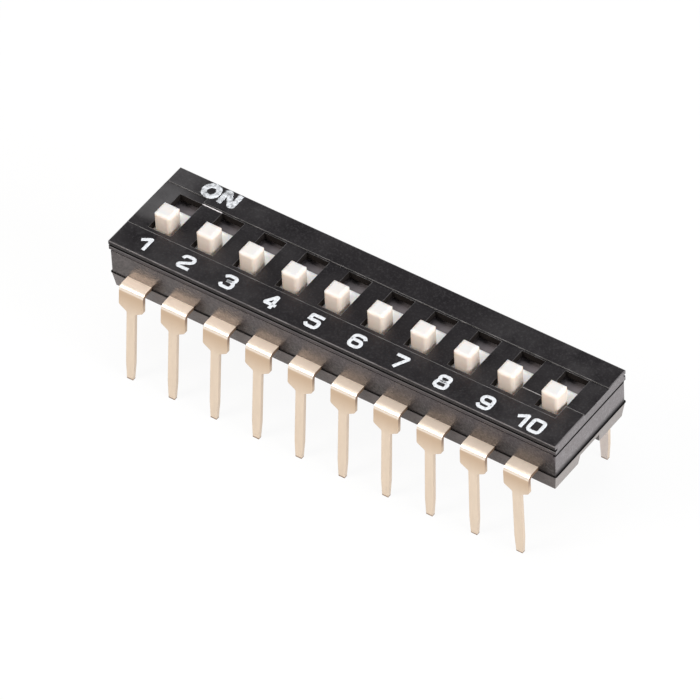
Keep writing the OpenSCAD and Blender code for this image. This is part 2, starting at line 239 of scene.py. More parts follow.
class DIPSWITCH_PG_stage(bpy.types.PropertyGroup):
    """Floor, lamps and camera"""
    floor_colour: colour("Floor", "Colour of the floor", (0.82, 0.82, 0.82))
    floor_size: length("Floor size", "Side of the floor", 4000.0)
    floor_white: share("Floor white", "How much of the floor is plain white to the camera", 0.92)
    floor_mirrored: share("Mirrored white", "How much of that white shows in reflections", 0.8)
    sky_strength: FloatProperty(name="Sky", description="Strength of the light from all round",
                                min=0.0, default=0.25)
    key_power: lamp_power("Key light", "Power of the key light, at the right", 2.7)
    key_size: length("Key light size", "Side of the key light", 300.0)
    key_place: location("Key light place", "Place of the key light", (0.50, -0.05, 0.18))
    front_power: lamp_power("Front light", "Power of the warm light at the front", 1.7)
    front_size: length("Front light size", "Side of the light at the front", 220.0)
    front_place: location("Front light place", "Place of the light at the front", (-0.25, -0.35, 0.40))
    front_colour: colour("Front light colour", "Colour of the light at the front", (1.0, 0.93, 0.86))
    top_power: lamp_power("Top light", "Power of the light overhead", 1.4)
    top_size: length("Top light size", "Side of the light overhead", 300.0)
    top_place: location("Top light place", "Place of the light overhead", (0.03, -0.01, 0.50))
    camera_place: location("Camera place", "Place of the camera", (0.17188, -0.23041, 0.29352))
    camera_turn: FloatVectorProperty(name="Camera turn", description="Angles of the camera", subtype="EULER",
                                     unit="ROTATION", size=3,
                                     default=[math.radians(a) for a in (44.8037, 2.24117, 34.63031)])
    lens: FloatProperty(name="Lens", description="Focal length of the camera in millimetres", unit="CAMERA",
                        min=1.0, default=428.3)


GROUPS = {
    "dipswitch_housing": DIPSWITCH_PG_housing,
    "dipswitch_slider": DIPSWITCH_PG_slider,
    "dipswitch_metal": DIPSWITCH_PG_metal,
    "dipswitch_legends": DIPSWITCH_PG_legends,
    "dipswitch_marks": DIPSWITCH_PG_marks,
    "dipswitch_stage": DIPSWITCH_PG_stage,
}


# ---- Node trees ----

class NodeTree:
    """A node tree; what its nodes are fed is either a plain value or another node's output"""

    def __init__(self, tree):
        self.tree = tree

    def node(self, kind, **values):
        node = self.tree.nodes.new(kind)
        for key, value in values.items():
            setattr(node, key, value)
        return node

    def link(self, source, target):
        self.tree.links.new(source, target)

    def feed(self, socket, value):
        if isinstance(value, bpy.types.NodeSocket):
            self.link(value, socket)
        else:
            socket.default_value = value

    def put(self, node, **inputs):
        """Feeds inputs by name, with an underscore for each space, and hands back the node"""
        for key, value in inputs.items():
            self.feed(node.inputs[key.replace("_", " ")], value)
        return node

    def math(self, operation, first, second=0.0, kind="ShaderNodeMath"):
        """A math node's result"""
        node = self.node(kind, operation=operation)
        self.feed(node.inputs[0], first)
        self.feed(node.inputs[1], second)
        return node.outputs[0]

    def vectors(self, operation, first, second):
        return self.math(operation, first, second, "ShaderNodeVectorMath")

    def both(self, *masks):
        """Where all of the masks are 1"""
        return reduce(lambda first, second: self.math("MULTIPLY", first, second), masks)

    def either(self, *masks):
        """Where any of the masks is 1"""
        return reduce(lambda first, second: self.math("MAXIMUM", first, second), masks)

    def without(self, mask):
        return self.math("SUBTRACT", 1.0, mask)

    def blend(self, factor, first, second, output):
        """Goes from the first shader to the second with the factor, and on to the tree's output"""
        node = self.node("ShaderNodeMixShader")
        for socket, source in zip(node.inputs, (factor, first, second)):
            self.link(source, socket)
        self.link(node.outputs[0], self.node(output).inputs["Surface"])


def bare_tree(owner):
    """The node tree of a material or a world, emptied"""
    owner.use_nodes = True
    owner.node_tree.nodes.clear()
    return NodeTree(owner.node_tree)


def shaded(tint, factor):
    """A colour made darker or paler"""
    return tuple(channel * factor for channel in tint)


# ---- Materials ----

# Rims of a moulding in millimetres: its outer walls, and the outer edges that carry a painted highlight
WALL_RIM, HIGHLIGHT_RIM = 0.45, 0.02


class Finish(NodeTree):
    """A surface material, with its patterns and levels laid out in millimetres"""

    def __init__(self, name):
        self.material = bpy.data.materials.new(name)
        self.material.use_nodes = True
        super().__init__(self.material.node_tree)
        self.shader = self.tree.nodes["Principled BSDF"]
        place = self.node("ShaderNodeTexCoord").outputs["Object"]
        scale = self.put(self.node("ShaderNodeMapping"), Vector=place, Scale=(1 / MM, 1 / MM, 1 / MM))
        self.place = scale.outputs["Vector"]
        self.x, self.y, self.z = self.axes(self.place)
        facing = self.node("ShaderNodeNewGeometry").outputs["Normal"]
        self.facing_x, self.facing_y, self.facing_z = self.axes(facing)

    def axes(self, vector):
        """A vector's X, Y and Z"""
        return self.put(self.node("ShaderNodeSeparateXYZ"), Vector=vector).outputs

    def surface(self, **inputs):
        """Feeds the inputs of the material's own shader"""
        self.put(self.shader, **inputs)

    def noise(self, scale, detail=2.0, roughness=0.5, place=None):
        node = self.node("ShaderNodeTexNoise")
        self.put(node, Vector=place or self.place, Scale=scale, Detail=detail, Roughness=roughness)
        return node.outputs["Fac"]

    def remap(self, value, low, high, to_low=0.0, to_high=1.0, smooth=False):
        """Takes low to to_low and high to to_high, and holds those two beyond them"""
        node = self.node("ShaderNodeMapRange", interpolation_type="SMOOTHSTEP" if smooth else "LINEAR")
        self.put(node, Value=value, From_Min=low, From_Max=high, To_Min=to_low, To_Max=to_high)
        return node.outputs["Result"]

    def from_level(self, level, start, end, *values, **options):
        """Remaps the height, between a start and an end in millimetres above a level"""
        return self.remap(self.z, level / MM + start, level / MM + end, *values, **options)

    def mix(self, factor, first, second):
        """Goes from the first colour to the second as the factor goes from 0 to 1"""
        node = self.node("ShaderNodeMix", data_type="RGBA")
        self.feed(node.inputs["Factor"], factor)
        for socket, value in ((node.inputs[6], first), (node.inputs[7], second)):
            self.feed(socket, value if isinstance(value, bpy.types.NodeSocket) else (*value, 1.0))
        return node.outputs[2]

    def relief(self, edge_radius, height, depth, strength):
        """Rounded edges, with a bump of the given depth in millimetres on them"""
        edge = self.put(self.node("ShaderNodeBevel", samples=6), Radius=edge_radius)
        bump = self.put(self.node("ShaderNodeBump"), Strength=strength, Distance=depth * MM, Height=height,
                        Normal=edge.outputs[0])
        self.surface(Normal=bump.outputs[0])


def dress(names, material):
    """Gives a material to CAD nodes"""
    for name in names:
        for slot in NODES[name].material_slots:
            slot.material = material


def numbered(stem):
    """The names of one kind of node, for all positions"""
    return [f"{stem}_{i}" for i in range(1, POSITIONS + 1)]


class Moulding(Finish):
    """Charcoal plastic: masks for the faces of a moulding, and the dust and grain that all share"""

    def __init__(self, name, looks, high):
        super().__init__(name)
        self.looks = looks
        self.high = high
        self.upward = self.remap(self.facing_z, 0.5, 0.9)
        self.upright = self.without(self.upward)
        self.endward = self.remap(self.math("ABSOLUTE", self.facing_x), 0.6, 0.9)
        self.deep = self.inside(WALL_RIM)
        self.cloud = self.noise(0.55, 3.0, 0.6)
        self.speck = self.noise(9.0, 2.0, 0.7)

    def inside(self, rim, softness=0.05):
        """1 in the middle of the part in plan, and 0 within a rim along its four sides"""
        masks = []
        for place, reach in ((self.x, self.high.x), (self.y, self.high.y)):
            edge = reach / MM - rim
            masks.append(self.remap(self.math("ABSOLUTE", place), edge - softness, edge, 1.0, 0.0))
        return self.both(*masks)

    def finish(self, body, hidden, shine, roughness, grain_scale, grain_depth):
        """Adds dust, grain and a soft shine, which the hidden faces lack"""
        looks = self.looks
        speck = self.remap(self.speck, 0.50, 0.70)
        dust = self.both(speck, self.remap(self.endward, 0.0, 1.0, 0.08, 0.6), self.without(hidden))
        self.surface(Base_Color=self.mix(dust, body, shaded(looks.haze_colour, 1.6)),
                     Specular_IOR_Level=self.remap(hidden, 0.0, 1.0, shine, 0.04),
                     Specular_Tint=(*looks.shine_colour, 1.0),
                     Roughness=self.math("ADD", roughness, self.remap(self.cloud, 0.3, 0.7, 0.0, 0.1)))
        self.relief(looks.edge_radius, self.noise(grain_scale, 3.0, 0.7), grain_depth, 0.8)
        return self.material


def cover_finish(looks):
    """Glossier top with a painted sheen at the first end, dark lips over the grooves, and painted shade on
    the slot walls
    """
    skin = Moulding("Charcoal cover", looks, COVER_HIGH)
    long_side = skin.both(skin.without(skin.endward), skin.without(skin.deep))

    # Painted sheen: a patch at the first end, and faint clouds of the same pale colour that grow towards
    # both ends
    first_end = COVER_LOW.x / MM
    patch = skin.both(skin.remap(skin.x, first_end + 0.5, first_end + 2.8, 0.62, 0.0, smooth=True),
                      skin.remap(skin.y, 0.6, 2.4, 1.0, 0.45, smooth=True),
                      skin.remap(skin.y, -1.1, -0.3, smooth=True),
                      skin.remap(skin.cloud, 0.3, 0.6, 0.6, 1.0))
    clouds = skin.both(skin.remap(skin.math("ABSOLUTE", skin.x), 1.0, 10.0, 0.15, 1.0),
                       skin.remap(skin.cloud, 0.35, 0.75, 0.0, 0.15))
    top = skin.mix(skin.either(patch, clouds), looks.top_colour, looks.haze_colour)

    # Walls: the lips, the long sides below them, the ends painted paler as painted light, and the slots in
    # painted shade
    lip = skin.from_level(LIP, -0.02, 0.0)
    side = skin.mix(lip, looks.side_colour, looks.lip_colour)
    outer = skin.mix(skin.endward, side, looks.end_colour)
    wall = skin.mix(skin.deep, outer, looks.slot_colour)

    # Painted shade: on the grooves' floors, at the joint at the ends, and on the grooves' inner walls
    above_floor = skin.from_level(GROOVE_FLOOR, -0.045, -0.035)
    ledge = skin.both(skin.upward, skin.from_level(GROOVE_FLOOR, 0.03, 0.01))
    joint = skin.both(skin.endward, skin.from_level(SKIRT, 0.07, 0.03))
    recess = skin.both(above_floor, skin.from_level(LIP, 0.03, 0.01), long_side)
    dark = skin.either(ledge, joint, recess)

    # Painted highlights: round the top, and along the outer edges of the grooves' floors
    edge = skin.both(skin.without(skin.inside(HIGHLIGHT_RIM)), skin.from_level(TOP, -0.05, -0.01))
    rubbed = skin.both(skin.from_level(GROOVE_FLOOR, -0.11, -0.07), skin.without(above_floor), long_side,
                       skin.upright, 0.7)
    painted_edge_highlight = skin.both(skin.either(edge, rubbed), skin.remap(skin.noise(0.9, 3.0), 0.3, 0.6, 0.3, 1.0))

    hidden = skin.either(skin.both(skin.deep, skin.upright), dark,
                         skin.both(lip, long_side, skin.upright, 0.7))
    body = skin.mix(painted_edge_highlight, skin.mix(skin.upward, wall, top), looks.wear_colour)
    return skin.finish(skin.mix(dark, body, looks.recess_colour), hidden, shine=0.5, roughness=0.26,
                       grain_scale=13.0, grain_depth=0.012)


def base_finish(looks):
    """Satin walls with painted shade towards the parting line, a paler part below it, and painted light on
    the ends and inside
    """
    skin = Moulding("Charcoal base", looks, BASE_HIGH)
    along = skin.remap(skin.x, BASE_LOW.x / MM, BASE_HIGH.x / MM)
    above = skin.from_level(PARTING, -0.02, 0.0)

    # Walls: the long ones are smoother towards the first end and darker there as painted shade; the ends
    # take painted light
    side = skin.mix(skin.remap(along, 0.0, 0.45), shaded(looks.side_colour, 0.3), looks.side_colour)
    upper = skin.mix(skin.endward, side, looks.end_colour)
    lower = skin.mix(skin.endward, looks.lower_side_colour, looks.lower_end_colour)
    sparkle = skin.remap(skin.speck, 0.35, 0.65, 0.75, 1.25)
    long_shine = skin.both(skin.remap(along, 0.0, 1.0, 1.0, 0.5), sparkle)
    shine = skin.remap(skin.endward, 0.0, 1.0, long_shine, 0.75)
    roughness = skin.remap(skin.endward, 0.0, 1.0, skin.remap(along, 0.0, 0.6, 0.07, 0.34), 0.27)

    # Painted shade: along the parting line, in the gap under the cover's ends, and low on the long walls
    end_seam = skin.both(skin.endward, skin.from_level(PARTING, 0.5, 0.1, 0.0, 0.9, smooth=True))
    line = skin.from_level(PARTING, 0.13, 0.05, 0.0, 0.5, smooth=True)
    gap = skin.both(skin.endward, skin.from_level(END_TOP, -0.06, -0.03))
    seam = skin.either(skin.both(skin.either(end_seam, line), above, skin.upright), gap)
    side_shade = skin.both(skin.without(skin.endward), above,
                           skin.from_level(PARTING, 1.3, 0.45, 0.0, 0.9, smooth=True))
    outer = skin.mix(skin.either(seam, side_shade), skin.mix(above, lower, upper), looks.recess_colour)

    # Inside, the walls and level faces take painted light; outside, the level ledges take the painted shade
    wall = skin.mix(skin.deep, outer, looks.deck_colour)
    level = skin.mix(skin.deep, looks.recess_colour, looks.deck_colour)
    ledge = skin.both(skin.upward, skin.without(skin.deep))
    hidden = skin.either(skin.both(skin.deep, skin.upright), ledge, seam)
    return skin.finish(skin.mix(skin.upward, wall, level), hidden, shine=shine, roughness=roughness,
                       grain_scale=8.0, grain_depth=0.02)


def slider_finish(looks):
    """Warm white plastic that light goes into, with darker tops, warmer sides and a paler plate as painted
    light and shade, and painted shade in the corners round the plate
    """
    skin = Finish("Warm white slider")
    cloud = skin.noise(1.6, 3.0)
    # Painted light and shade: darker tops, warmer sides and a paler plate
    body = skin.mix(skin.remap(skin.facing_z, 0.3, 0.9), looks.side_colour, looks.top_colour)
    body = skin.mix(skin.remap(cloud, 0.4, 0.7, 0.0, 0.25), body, looks.side_colour)
    low = skin.from_level(PLATE, 0.05, 0.02)
    body = skin.mix(low, body, looks.plate_colour)
    # Painted shade in the corners round the plate, from an occlusion mask
    corner = skin.put(skin.node("ShaderNodeAmbientOcclusion", samples=8), Distance=looks.corner_depth)
    deep = skin.both(low, skin.remap(corner.outputs["AO"], 0.5, 0.22))
    skin.surface(Base_Color=skin.mix(deep, body, looks.corner_colour),
                 Roughness=skin.remap(cloud, 0.3, 0.7, 0.34, 0.46), Specular_IOR_Level=0.4,
                 Subsurface_Weight=0.35, Subsurface_Radius=(1.0, 0.7, 0.5),
                 Subsurface_Scale=looks.glow_depth)
    skin.relief(looks.edge_radius, skin.noise(14.0), 0.003, 0.5)
    return skin.material


def plating_finish(looks):
    """Satin gold: a painted highlight on the bends and painted light on level faces, shaded below the bends,
    painted shade inside, and bare where it was cut
    """
    skin = Finish("Pale gold plating")
    drawn = skin.noise(1.0, 3.0, 0.6, skin.vectors("MULTIPLY", skin.place, (5.0, 0.9, 0.9)))
    body = skin.mix(skin.remap(drawn, 0.35, 0.7), looks.plating_colour, shaded(looks.plating_colour, 0.95))
    # Painted highlight on the bends
    bend = skin.both(skin.remap(skin.facing_z, 0.12, 0.35), skin.remap(skin.facing_z, 0.97, 0.9))
    below = skin.both(skin.from_level(SHOULDER, -1.6, -0.5), skin.remap(skin.facing_z, 0.35, 0.12))
    body = skin.mix(bend, body, looks.bend_colour)
    # Painted light on the level faces
    body = skin.mix(skin.remap(skin.facing_z, 0.85, 0.98), body, looks.flat_colour)
    body = skin.mix(below, body, looks.shade_colour)
    # Painted shade on the inner faces
    body = skin.mix(skin.remap(skin.both(skin.y, skin.facing_y), -1.0, -2.0), body, looks.dull_colour)
    pits = skin.remap(skin.noise(13.0, 2.0, 0.6), 0.70, 0.76, 0.0, 0.3)
    body = skin.mix(pits, body, looks.sheared_colour)
    # Cut edges of bare metal, darkened further as painted shade towards the bend
    sheared = skin.both(skin.remap(skin.math("ABSOLUTE", skin.facing_x), 0.8, 0.95),
                        skin.from_level(SHOULDER, -0.8, -0.4, 0.17, 0.9))
    tip = skin.remap(skin.z, 0.03, 0.10, 1.0, 0.0)
    skin.surface(Base_Color=skin.mix(skin.either(sheared, tip), body, looks.sheared_colour),
                 Roughness=skin.remap(drawn, 0.3, 0.7, 0.30, 0.37), Metallic=0.55)
    skin.relief(looks.edge_radius, drawn, 0.006, 0.12)
    return skin.material


def ink_finish(name, looks, fading, patch_scale, thinning):
    """Ink that has thinned to a share of its colour in patches"""
    skin = Finish(name)
    thin = skin.remap(skin.noise(patch_scale, 3.0, 0.65), thinning, thinning + 0.22)
    skin.surface(Base_Color=skin.mix(thin, looks.ink_colour, shaded(looks.ink_colour, fading)),
                 Roughness=skin.remap(skin.noise(5.0), 0.3, 0.7, 0.45, 0.6), Specular_IOR_Level=0.3)
    return skin.material


def burr_finish(name, looks, brightness, faintest):
    """Painted highlight along a burr: plastic that pales here and there, and elsewhere keeps the faintest
    share
    """
    skin = Finish(name)
    dark = shaded(looks.burr_colour, faintest * brightness)
    bright = shaded(looks.burr_colour, brightness)
    skin.surface(Base_Color=skin.mix(skin.remap(skin.noise(1.3, 3.0), 0.38, 0.62), dark, bright),
                 Roughness=0.4, Specular_IOR_Level=0.5)
    return skin.material


def floor_finish(looks):
    """Matte floor that the camera and reflections see as nearly white, and that keeps its shadow"""
    material = bpy.data.materials.new("Pale floor")
    tree = bare_tree(material)
    matte = tree.put(tree.node("ShaderNodeBsdfDiffuse"), Color=(*looks.floor_colour, 1.0))
    white = tree.node("ShaderNodeEmission")
    ray = tree.node("ShaderNodeLightPath").outputs
    seen = tree.either(ray["Is Camera Ray"], tree.both(ray["Is Glossy Ray"], looks.floor_mirrored))
    tree.blend(tree.both(seen, looks.floor_white), matte.outputs[0], white.outputs[0],
               "ShaderNodeOutputMaterial")
    return material


def studio_sky(looks):
    """A dim light from all round, behind which the camera sees plain white"""
    world = bpy.data.worlds.new("Studio")
    tree = bare_tree(world)
    white = (1.0, 1.0, 1.0, 1.0)
    sky = tree.put(tree.node("ShaderNodeBackground"), Color=white, Strength=looks.sky_strength)
    backdrop = tree.put(tree.node("ShaderNodeBackground"), Color=white)
    ray = tree.node("ShaderNodeLightPath").outputs
    tree.blend(ray["Is Camera Ray"], sky.outputs[0], backdrop.outputs[0], "ShaderNodeOutputWorld")
    return world


# ---- Geometry Nodes ----

# Ink: straight pieces and ends as shares of the stroke's width, and scale of the noise at its edges
INK_STEP, INK_END, INK_WAVES = 0.1, 0.12, 9.0 / MM

# Burrs: length of their straight pieces, and scale of the noise that bends them
BURR_STEP, BURR_WAVES = 0.08 * MM, 3.0 / MM


class ShapeTree(NodeTree):
    """A Geometry Nodes tree with named inputs"""

    def __init__(self, name, sizes):
        super().__init__(bpy.data.node_groups.new(name, "GeometryNodeTree"))
        face = self.tree.interface
        face.new_socket("Geometry", in_out="INPUT", socket_type="NodeSocketGeometry")
        for label, kind in sizes:
            face.new_socket(label, in_out="INPUT", socket_type=kind)
        face.new_socket("Geometry", in_out="OUTPUT", socket_type="NodeSocketGeometry")
        self.given = self.node("NodeGroupInput").outputs
        self.result = self.node("NodeGroupOutput").inputs[0]

    def wander(self, geometry, amount, scale, seed):
        """Moves every point sideways by a little smooth noise"""
        place = self.node("GeometryNodeInputPosition").outputs[0]
        noise = self.put(self.node("ShaderNodeTexNoise", noise_dimensions="4D"), Vector=place, W=seed,
                         Scale=scale, Detail=1.0)
        centred = self.vectors("SUBTRACT", noise.outputs["Color"], (0.5, 0.5, 0.5))
        flat = self.vectors("MULTIPLY", centred, (2.0, 2.0, 0.0))
        sized = self.put(self.node("ShaderNodeVectorMath", operation="SCALE"), Vector=flat, Scale=amount)
        move = self.node("GeometryNodeSetPosition")
        return self.put(move, Geometry=geometry, Offset=sized.outputs[0]).outputs[0]

    def end(self, geometry, material):
        real = self.put(self.node("GeometryNodeRealizeInstances"), Geometry=geometry).outputs[0]
        paint = self.put(self.node("GeometryNodeSetMaterial"), Geometry=real, Material=material)
        self.link(paint.outputs[0], self.result)


def ink_tree():
    """Turns a letter's lines into strokes of ink with round ends"""
    tree = ShapeTree("Ink strokes", [
        ("Stroke", "NodeSocketFloat"), ("Thickness", "NodeSocketFloat"),
        ("Raggedness", "NodeSocketFloat"), ("Seed", "NodeSocketFloat"), ("Ink", "NodeSocketMaterial")])
    given = tree.given

    # Lines with rounded corners, cut into short pieces
    line = tree.put(tree.node("GeometryNodeMeshToCurve"), Mesh=given["Geometry"]).outputs[0]
    corner = tree.put(tree.node("GeometryNodeInputNamedAttribute", data_type="FLOAT"), Name="corner")
    bend = tree.node("GeometryNodeFilletCurve", mode="POLY")
    tree.put(bend, Curve=line, Count=6, Radius=corner.outputs[0], Limit_Radius=True)
    even = tree.node("GeometryNodeResampleCurve", mode="LENGTH")
    tree.put(even, Curve=bend.outputs[0], Length=tree.math("MULTIPLY", given["Stroke"], INK_STEP))

    # Full width in a closed line, and round ends on an open one
    reach = tree.node("GeometryNodeSplineParameter").outputs["Length"]
    whole = tree.node("GeometryNodeSplineLength").outputs["Length"]
    half = tree.math("MULTIPLY", given["Stroke"], 0.5)
    nearest = tree.math("MINIMUM", reach, tree.math("SUBTRACT", whole, reach))
    inset = tree.math("MINIMUM", tree.math("DIVIDE", nearest, half), 1.0)
    left = tree.without(inset)
    round_end = tree.math("SQRT", tree.without(tree.math("MULTIPLY", left, left)))
    width = tree.either(round_end, INK_END)
    closed = tree.node("GeometryNodeInputSplineCyclic").outputs[0]
    choose = tree.node("GeometryNodeSwitch", input_type="FLOAT")
    tree.put(choose, Switch=closed, **{"False": width, "True": 1.0})
    sized = tree.node("GeometryNodeSetCurveRadius")
    tree.put(sized, Curve=even.outputs[0], Radius=choose.outputs[0])
    level = tree.put(tree.node("GeometryNodeSetCurveNormal", mode="Z_UP"), Curve=sized.outputs[0])

    # A flat oval, as wide as the stroke and as high as the ink, swept along them
    ring = tree.put(tree.node("GeometryNodeCurvePrimitiveCircle"), Resolution=10, Radius=0.5)
    oval = tree.put(tree.node("ShaderNodeCombineXYZ"), X=given["Stroke"], Y=given["Thickness"], Z=1.0)
    profile = tree.node("GeometryNodeTransform")
    tree.put(profile, Geometry=ring.outputs[0], Scale=oval.outputs[0])
    sweep = tree.node("GeometryNodeCurveToMesh")
    tree.put(sweep, Curve=level.outputs[0], Profile_Curve=profile.outputs[0], Fill_Caps=True)
    ragged = tree.wander(sweep.outputs[0], given["Raggedness"], INK_WAVES, given["Seed"])
    tree.end(ragged, given["Ink"])
    return tree.tree


def burr_tree():
    """Lays a fine, slightly wandering bead along the edges it is given"""
    tree = ShapeTree("Moulding burr", [
        ("Radius", "NodeSocketFloat"), ("Wander", "NodeSocketFloat"), ("Seed", "NodeSocketFloat"),
        ("Plastic", "NodeSocketMaterial")])
    given = tree.given
    line = tree.put(tree.node("GeometryNodeMeshToCurve"), Mesh=given["Geometry"]).outputs[0]
    even = tree.node("GeometryNodeResampleCurve", mode="LENGTH")
    tree.put(even, Curve=line, Length=BURR_STEP)
    ring = tree.put(tree.node("GeometryNodeCurvePrimitiveCircle"), Resolution=8, Radius=given["Radius"])
    sweep = tree.node("GeometryNodeCurveToMesh")
    tree.put(sweep, Curve=even.outputs[0], Profile_Curve=ring.outputs[0], Fill_Caps=True)
    bent = tree.wander(sweep.outputs[0], given["Wander"], BURR_WAVES, given["Seed"])
    tree.end(bent, given["Plastic"])
    return tree.tree


def line_mesh(name, lines):
    """A mesh of edges; each line is (points, closed, radius of its corners)"""
    mesh = bpy.data.meshes.new(name)
    places, edges, corners = [], [], []
    for line, closed, corner in lines:
        first = len(places)
        places += [tuple(p) for p in line]
        corners += [corner] * len(line)
        edges += [(first + k, first + k + 1) for k in range(len(line) - 1)]
        if closed:
            edges.append((first + len(line) - 1, first))
    mesh.from_pydata(places, edges, [])
    mesh.attributes.new("corner", "FLOAT", "POINT").data.foreach_set("value", corners)
    piece = bpy.data.objects.new(name, mesh)
    bpy.context.scene.collection.objects.link(piece)
    return piece


def grow(piece, group, **sizes):
    """Runs a Geometry Nodes tree on a piece and keeps the result as a plain mesh"""
    modifier = piece.modifiers.new(group.name, "NODES")
    modifier.node_group = group
    for item in group.interface.items_tree:
        if item.in_out == "INPUT" and item.name in sizes:
            modifier[item.identifier] = sizes[item.name]
    bpy.context.view_layer.update()
    graph = bpy.context.evaluated_depsgraph_get()
    mesh = bpy.data.meshes.new_from_object(piece.evaluated_get(graph), depsgraph=graph)
    if not mesh.polygons:
        raise RuntimeError(f"{piece.name}: {group.name} made nothing")
    piece.modifiers.remove(modifier)
    piece.data = mesh
    mesh.name = piece.name
    shape = bmesh.new()
    shape.from_mesh(mesh)
    bmesh.ops.recalc_face_normals(shape, faces=shape.faces)
    shape.to_mesh(mesh)
    shape.free()
    mesh.shade_smooth()
    return piece


# ---- Lettering ----

OVERRUN = 0.35  # how far the ends of an open line run on, as a share of the stroke
DIGIT_ADVANCE = 0.94  # from one digit of a number to the next, as a share of a digit's width
LAST_LEVEL_NUMBER = 6  # the numbers after this one are printed lower and lower
WORD_SEED = 40  # past the numbers' own seeds, which are their positions

# The middle lines of each letter's strokes in a unit box: points, whether closed, roundness of corners
LETTERS = {
    "0": [([(0, 0), (1, 0), (1, 1), (0, 1)], True, 0.2)],
    "1": [([(-0.02, 0.70), (0.66, 1.02), (0.66, 0)], False, 0.03)],
    "2": [([(0, 0.80), (0.08, 1), (1, 1), (1, 0.62), (0.02, 0.22), (0.02, 0), (1, 0)], False, 0.24)],
    "3": [([(0, 0.88), (0.2, 1), (0.96, 1), (0.96, 0.54), (0.38, 0.54)], False, 0.2),
          ([(0.38, 0.54), (1, 0.54), (1, 0), (0.1, 0), (0, 0.14)], False, 0.2)],
    "4": [([(0.76, 0), (0.76, 1), (0.64, 1), (0, 0.28), (1, 0.28)], False, 0.05)],
    "5": [([(1, 1), (0.02, 1), (0, 0.58)], False, 0.03),
          ([(0.14, 0.60), (1, 0.60), (1, 0), (0.1, 0), (0, 0.12)], False, 0.2)],
    "6": [([(1, 0.86), (0.9, 1), (0, 1), (0, 0), (1, 0), (1, 0.56), (0.05, 0.56)], False, 0.26)],
    "7": [([(0, 0.97), (1, 0.97), (0.36, 0)], False, 0.05)],
    "8": [([(0.06, 0.53), (0.94, 0.53), (0.94, 1), (0.06, 1)], True, 0.2),
          ([(0, 0), (1, 0), (1, 0.53), (0, 0.53)], True, 0.2)],
    "9": [([(0, 0.14), (0.1, 0), (1, 0), (1, 1), (0, 1), (0, 0.44), (0.95, 0.44)], False, 0.26)],
    "O": [([(0, 0), (1, 0), (1, 1), (0, 1)], True, 0.34)],
    "N": [([(0, 0), (0, 1), (0.2, 1), (0.8, 0), (1, 0), (1, 1)], False, 0.03)],
}


def letter_lines(letter, left, foot, width, height, stroke):
    """The lines of one letter, on the cover, whose ink fills the box that starts at left and foot"""
    lines = []
    for shape, closed, roundness in LETTERS[letter]:
        line = [Vector((left + stroke / 2 + u * (width - stroke),
                        foot + stroke / 2 + v * (height - stroke), COVER_HIGH.z)) for u, v in shape]
        if not closed:
            line[0] += (line[0] - line[1]).normalized() * stroke * OVERRUN
            line[-1] += (line[-1] - line[-2]).normalized() * stroke * OVERRUN
        lines.append((line, closed, width * roundness))
    return lines


def word_lines(word, left, foot, step, width, height, stroke):
    """The lines of a word whose letters start one step apart"""
    lines = []
    for k, letter in enumerate(word):
        lines += letter_lines(letter, left + k * step, foot, width, height, stroke)
    return lines


def number_lines(i, looks):
    """The lines of a position's number, centred on a place a little before its slider's middle"""
    number = str(i)
    width, stroke = looks.digit_width, looks.digit_stroke
    step = width * DIGIT_ADVANCE
    left = middle_x(f"slider_{i}") - looks.digit_shift - (width + step * (len(number) - 1)) / 2
    if len(number) == 1:
        spread = [u for shape, _, _ in LETTERS[number] for u, _ in shape]
        left += (1 - min(spread) - max(spread)) / 2 * (width - stroke)
    drop = looks.print_drop * max(0.0, (i - LAST_LEVEL_NUMBER) / (POSITIONS - LAST_LEVEL_NUMBER))
    foot = COVER_LOW.y + looks.digit_margin - drop
    return word_lines(number, left, foot, step, width, looks.digit_height, stroke)


def channel_line(left, right, y):
    """A line along the row, on the channel's floor"""
    return Vector((left, y, CHANNEL_FLOOR)), Vector((right, y, CHANNEL_FLOOR))


# ---- Operators, one for each piece or group ----

class DIPSWITCH_OT_cover(bpy.types.Operator):
    """Give the cover its semi-gloss charcoal finish"""
    bl_idname = "dipswitch.cover"
    bl_label = "Cover"

    def execute(self, context):
        dress(["cover"], cover_finish(context.scene.dipswitch_housing))
        return {"FINISHED"}


class DIPSWITCH_OT_base(bpy.types.Operator):
    """Give the base its satin charcoal finish"""
    bl_idname = "dipswitch.base"
    bl_label = "Base"

    def execute(self, context):
        dress(["base"], base_finish(context.scene.dipswitch_housing))
        return {"FINISHED"}


class DIPSWITCH_OT_sliders(bpy.types.Operator):
    """Give the sliders their warm white plastic"""
    bl_idname = "dipswitch.sliders"
    bl_label = "Sliders"

    def execute(self, context):
        dress(numbered("slider"), slider_finish(context.scene.dipswitch_slider))
        return {"FINISHED"}


class DIPSWITCH_OT_metal(bpy.types.Operator):
    """Give the leads and the moving contacts their satin gold plating"""
    bl_idname = "dipswitch.metal"
    bl_label = "Leads and contacts"

    def execute(self, context):
        names = numbered("lead_front") + numbered("lead_back") + numbered("wiper")
        dress(names, plating_finish(context.scene.dipswitch_metal))
        return {"FINISHED"}


